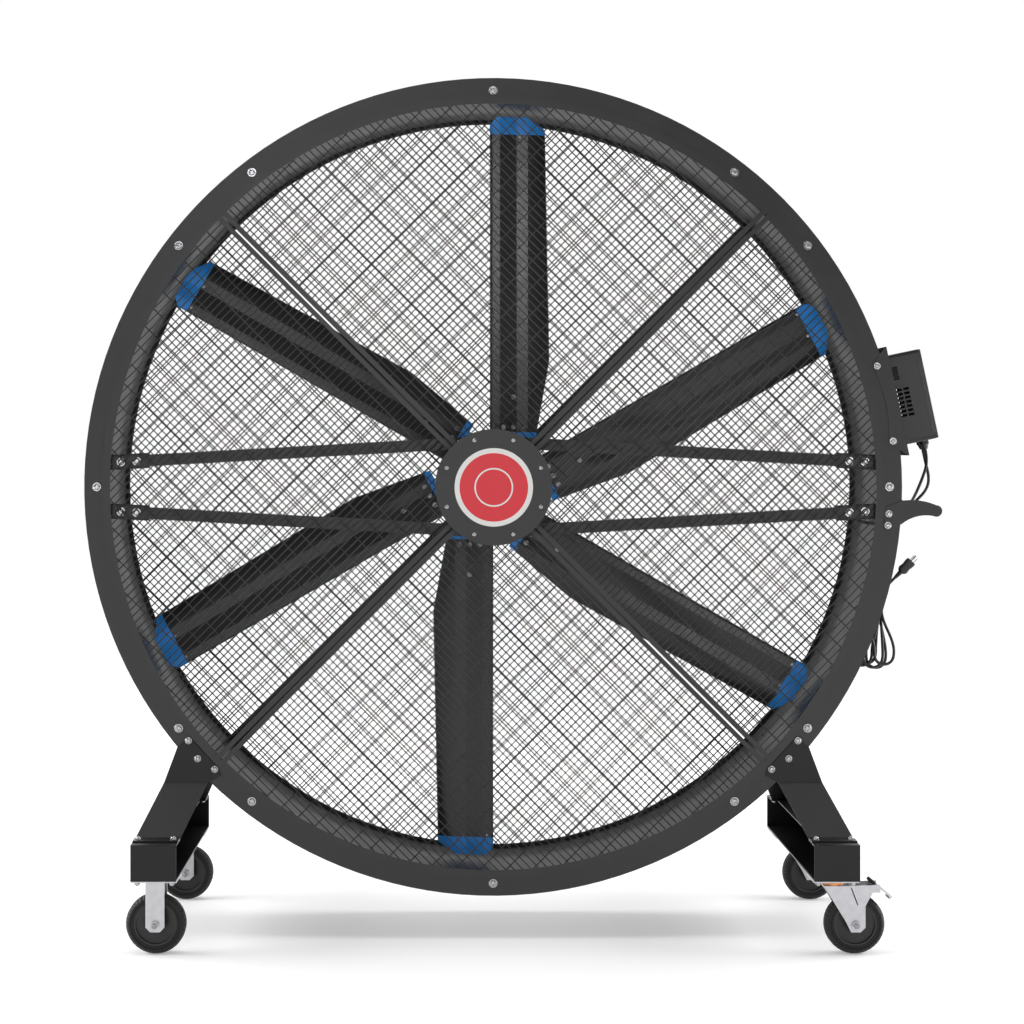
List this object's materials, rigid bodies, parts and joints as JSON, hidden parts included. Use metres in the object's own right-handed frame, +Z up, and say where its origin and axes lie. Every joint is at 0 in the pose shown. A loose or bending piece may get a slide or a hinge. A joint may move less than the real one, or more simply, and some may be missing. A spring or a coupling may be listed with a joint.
{
  "type": "portable industrial fan",
  "caption": "Large drum fan on casters: bladed rotor inside a shallow ring with wire guards front and rear, channel feet, controller and push handle on one side.",
  "frame": {"origin": "middle of the footprint and depth, on the floor under the casters", "axes": "+Z up, +X to the controller side as seen from the front, front guard faces -Y"},
  "size_m": [2.2487, 0.766, 2.2429],
  "materials": {
    "black_coat": "satin black powder coat",
    "guard_wire": "black coated welded wire",
    "badge_print": "plain coloured film, white rim and red field",
    "zinc_bolts": "bright zinc plate",
    "motor_shell": "cast and painted dark",
    "stator_copper": "wound copper on steel laminations",
    "machined_steel": "turned steel",
    "blade_black": "extruded, charcoal coat",
    "cap_blue": "moulded, satin",
    "zinc_fork": "pressed steel, zinc plate",
    "bearing_ring": "copper-coloured seal ring",
    "rim_black": "moulded, satin",
    "tyre_black": "matt rubber",
    "controller_shell": "dark coat on pressed sheet",
    "keypad_film": "plain printed film",
    "knob_black": "moulded",
    "button_green": "moulded",
    "gland_black": "moulded nylon",
    "cord_black": "moulded jacket"
  },
  "bodies": {
    "frame": {"cable_glands": "gland_black", "caster_bearing_rings": "bearing_ring", "controller_bracket": "black_coat", "controller_housing": "controller_shell", "cord_hank": "cord_black", "drum": "black_coat", "frame_bolts": "zinc_bolts", "front_guard_panels": "guard_wire", "front_guard_ring": "black_coat", "front_guard_spider": "black_coat", "front_hub_cover": "black_coat", "front_rigid_fork": "zinc_fork", "guard_bolts": "zinc_bolts", "hub_badge": "badge_print", "keypad_panel": "keypad_film", "left_foot_beam": "black_coat", "left_risers": "black_coat", "mains_lead": "cord_black", "mains_tail": "cord_black", "motor_bars": "black_coat", "motor_bearings": "machined_steel", "motor_cable": "cord_black", "motor_housing": "motor_shell", "motor_plate": "black_coat", "motor_stator": "stator_copper", "plug": "cord_black", "push_handle": "black_coat", "rear_guard_panels": "guard_wire", "rear_guard_ring": "black_coat", "rear_guard_spider": "black_coat", "rear_hub_cover": "black_coat", "rear_rigid_fork": "zinc_fork", "right_foot_beam": "black_coat", "right_risers": "black_coat", "swivel_caster_plates": "zinc_fork"},
    "rotor": {"rotor_shaft": "machined_steel", "rotor_hub": "machined_steel", "blade_1": "blade_black", "blade_2": "blade_black", "blade_3": "blade_black", "blade_4": "blade_black", "blade_5": "blade_black", "blade_6": "blade_black", "blade_caps": "cap_blue", "blade_bolts": "zinc_bolts"},
    "front_left_roller": {"front_left_wheel": "rim_black", "front_left_tyre": "tyre_black"},
    "rear_left_roller": {"rear_left_wheel": "rim_black", "rear_left_tyre": "tyre_black"},
    "front_swivel": {"front_swivel_fork": "zinc_fork"},
    "rear_swivel": {"rear_swivel_fork": "zinc_fork"},
    "front_right_roller": {"front_right_wheel": "rim_black", "front_right_tyre": "tyre_black"},
    "rear_right_roller": {"rear_right_wheel": "rim_black", "rear_right_tyre": "tyre_black"},
    "front_brake": {"front_brake_pedal": "zinc_fork"},
    "rear_brake": {"rear_brake_pedal": "zinc_fork"},
    "knob": {"speed_knob": "knob_black"},
    "button": {"start_button": "button_green"}
  },
  "joints": [
    {"name": "fan_spin", "type": "hinge", "parent": "frame", "child": "rotor", "pos_m": [-0.05948, 0, 1.178], "axis": [0, -1, 0], "continuous": true},
    {"name": "front_left_wheel_spin", "type": "hinge", "parent": "frame", "child": "front_left_roller", "pos_m": [-0.91697, -0.32, 0.076], "axis": [0, 1, 0], "continuous": true},
    {"name": "front_swivel_turn", "type": "hinge", "parent": "frame", "child": "front_swivel", "pos_m": [0.79802, -0.32, 0.18], "axis": [0, 0, 1], "continuous": true},
    {"name": "front_right_wheel_spin", "type": "hinge", "parent": "front_swivel", "child": "front_right_roller", "pos_m": [0.85103, -0.32, 0.076], "axis": [0, 1, 0], "continuous": true},
    {"name": "front_brake_release", "type": "hinge", "parent": "front_swivel", "child": "front_brake", "pos_m": [0.90302, -0.32, 0.168], "axis": [0, -1, 0], "range_deg": [0, 25]},
    {"name": "rear_left_wheel_spin", "type": "hinge", "parent": "frame", "child": "rear_left_roller", "pos_m": [-0.91697, 0.32, 0.076], "axis": [0, 1, 0], "continuous": true},
    {"name": "rear_swivel_turn", "type": "hinge", "parent": "frame", "child": "rear_swivel", "pos_m": [0.79802, 0.32, 0.18], "axis": [0, 0, 1], "continuous": true},
    {"name": "rear_right_wheel_spin", "type": "hinge", "parent": "rear_swivel", "child": "rear_right_roller", "pos_m": [0.85103, 0.32, 0.076], "axis": [0, 1, 0], "continuous": true},
    {"name": "rear_brake_release", "type": "hinge", "parent": "rear_swivel", "child": "rear_brake", "pos_m": [0.90302, 0.32, 0.168], "axis": [0, -1, 0], "range_deg": [0, 25]},
    {"name": "speed_knob_turn", "type": "hinge", "parent": "frame", "child": "knob", "pos_m": [1.0805, 0, 1.51436], "axis": [0.9781, 0, 0.2079], "range_deg": [-150, 150]},
    {"name": "start_button_press", "type": "slide", "parent": "frame", "child": "button", "axis": [-0.9781, 0, -0.2079], "range_m": [0, 0.0015], "stiffness_N_per_m": 400}
  ]
}
